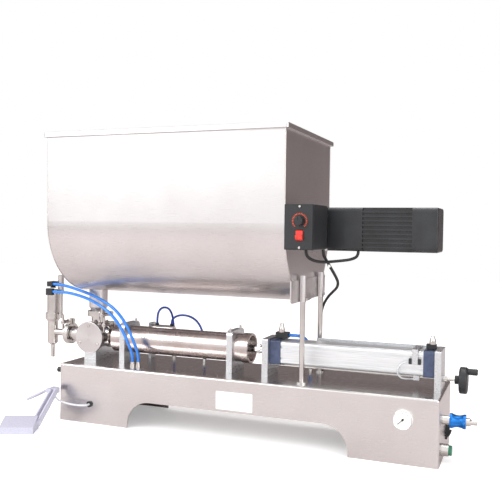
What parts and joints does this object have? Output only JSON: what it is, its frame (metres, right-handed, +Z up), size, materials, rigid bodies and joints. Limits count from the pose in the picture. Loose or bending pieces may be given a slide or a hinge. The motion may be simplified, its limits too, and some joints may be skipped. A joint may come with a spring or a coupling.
{
  "type": "piston liquid filler",
  "caption": "Bench-top piston filler: air-driven dosing cylinder, rotary valve and nozzle fed by a U-shaped hopper with a motor-driven mixer, on a steel base with a foot pedal.",
  "frame": {"origin": "centre of the base cabinet's footprint at floor level, between its four floor bolts", "axes": "+X along the machine from the nozzle to the handwheel, -Y towards the operator, +Z up"},
  "size_m": [1.208, 0.5363, 0.765],
  "materials": {
    "base_steel": "satin stainless sheet, polished top",
    "polished_steel": "polished stainless steel",
    "hopper_steel": "fine brushed stainless sheet",
    "chrome_rod": "mirror chrome",
    "anodised_silver": "silver anodised",
    "navy_caps": "dark blue, satin",
    "black_plastic": "satin black",
    "black_paint": "satin black paint",
    "blue_sleeve": "blue anodised",
    "green_plastic": "gloss",
    "red_plastic": "gloss",
    "blue_tube": "translucent polyurethane",
    "dark_tube": "polyurethane",
    "cable_black": "matte",
    "cable_grey": "matte",
    "white_plastic": "satin",
    "label_white": "satin printed plate, blank",
    "red_needle": "satin",
    "gasket_white": "silicone",
    "pedal_purple": "satin enamel",
    "valve_grey": "satin"
  },
  "bodies": {
    "machine": {"base_cabinet": "base_steel", "inner_tray": "base_steel", "control_valves": "valve_grey", "label_plate": "label_white", "gauge_case": "white_plastic", "panel_valves": "polished_steel", "panel_grommets": "black_plastic", "silver_fittings": "polished_steel", "product_cylinder": "polished_steel", "cylinder_supports": "anodised_silver", "bracket_caps": "anodised_silver", "air_cylinder_brackets": "anodised_silver", "air_cylinder_caps": "navy_caps", "air_cylinder_barrel": "anodised_silver", "valve_body": "polished_steel", "valve_cover": "polished_steel", "valve_cylinder": "polished_steel", "clamp_rings": "polished_steel", "pipe_gaskets": "gasket_white", "nozzle_body": "polished_steel", "nozzle_cylinder": "polished_steel", "black_fittings": "black_plastic", "hopper_trough": "hopper_steel", "hopper_end_plates": "hopper_steel", "saddle_plate": "hopper_steel", "support_legs": "polished_steel", "shaft_housings": "polished_steel", "gearmotor": "black_paint", "fan_cover": "black_paint", "controller_housing": "black_plastic", "fasteners": "polished_steel", "pedal_base": "pedal_purple", "blue_tube_upper": "blue_tube", "blue_tube_lower": "blue_tube", "valve_tube_left": "dark_tube", "valve_tube_right": "dark_tube", "port_tube": "blue_tube", "motor_lead": "cable_black", "mains_lead": "cable_black", "mains_coil": "cable_black", "mains_plug": "cable_black", "pedal_cable": "cable_grey"},
    "needle": {"gauge_needle": "red_needle"},
    "sleeve": {"slide_sleeve": "blue_sleeve"},
    "button": {"green_button": "green_plastic"},
    "power_switch": {"power_rocker": "black_plastic"},
    "piston": {"piston_rod": "chrome_rod", "product_piston": "polished_steel"},
    "adjuster": {"lead_screw": "polished_steel", "handwheel": "black_plastic"},
    "carriage": {"sensor_carriage": "anodised_silver", "magnet_sensors": "black_plastic", "sensor_cable": "cable_grey"},
    "plug": {"valve_plug": "polished_steel"},
    "valve_actuator": {"valve_rod": "polished_steel"},
    "plunger": {"nozzle_plunger": "chrome_rod"},
    "mixer": {"mixer_shaft": "polished_steel"},
    "knob": {"speed_knob": "black_plastic"},
    "mixer_switch": {"red_rocker": "red_plastic"},
    "tread": {"pedal_tread": "pedal_purple"}
  },
  "joints": [
    {"name": "piston_stroke", "type": "slide", "parent": "machine", "child": "piston", "axis": [-1, 0, 0], "range_m": [0, 0.3]},
    {"name": "adjuster_spin", "type": "hinge", "parent": "machine", "child": "adjuster", "pos_m": [0.532, 0, 0.1785], "axis": [1, 0, 0], "range_deg": [0, 9000]},
    {"name": "carriage_travel", "type": "slide", "parent": "machine", "child": "carriage", "axis": [-1, 0, 0], "range_m": [0, 0.25]},
    {"name": "valve_turn", "type": "hinge", "parent": "machine", "child": "plug", "pos_m": [-0.455, 0, 0.217], "axis": [0, 1, 0], "range_deg": [0, 60]},
    {"name": "actuator_stroke", "type": "slide", "parent": "machine", "child": "valve_actuator", "axis": [1, 0, 0], "range_m": [0, 0.02541]},
    {"name": "plunger_lift", "type": "slide", "parent": "machine", "child": "plunger", "axis": [0, 0, 1], "range_m": [0, 0.015], "stiffness_N_per_m": 400, "springref_m": -0.005},
    {"name": "mixer_spin", "type": "hinge", "parent": "machine", "child": "mixer", "pos_m": [0, 0, 0.537], "axis": [1, 0, 0], "continuous": true},
    {"name": "gauge_reading", "type": "hinge", "parent": "machine", "child": "needle", "pos_m": [0.4225, -0.12, 0.1023], "axis": [0, 1, 0], "range_deg": [0, 270]},
    {"name": "inlet_sleeve", "type": "slide", "parent": "machine", "child": "sleeve", "axis": [1, 0, 0], "range_m": [0, 0.008]},
    {"name": "stop_button", "type": "slide", "parent": "machine", "child": "button", "axis": [-1, 0, 0], "range_m": [0, 0.004], "stiffness_N_per_m": 800, "springref_m": -0.002},
    {"name": "power_rock", "type": "hinge", "parent": "machine", "child": "power_switch", "pos_m": [0.499, 0.03, 0.0495], "axis": [0, 1, 0], "range_deg": [0, 14]},
    {"name": "speed_set", "type": "hinge", "parent": "machine", "child": "knob", "pos_m": [0.1985, -0.2, 0.543], "axis": [0, 1, 0], "range_deg": [0, 270]},
    {"name": "mixer_rock", "type": "hinge", "parent": "machine", "child": "mixer_switch", "pos_m": [0.1985, -0.192, 0.511], "axis": [1, 0, 0], "range_deg": [0, 14]},
    {"name": "tread_press", "type": "hinge", "parent": "machine", "child": "tread", "pos_m": [-0.512, -0.14, 0.085], "axis": [0, -1, 0], "range_deg": [0, 9], "stiffness_Nm_per_rad": 3, "springref_deg": -5.73}
  ],
  "couplings": [
    {"joint": "carriage_travel", "follows": "adjuster_spin", "m_per_rad": 0.0015915},
    {"joint": "actuator_stroke", "follows": "valve_turn", "m_per_rad": 0.024255}
  ]
}
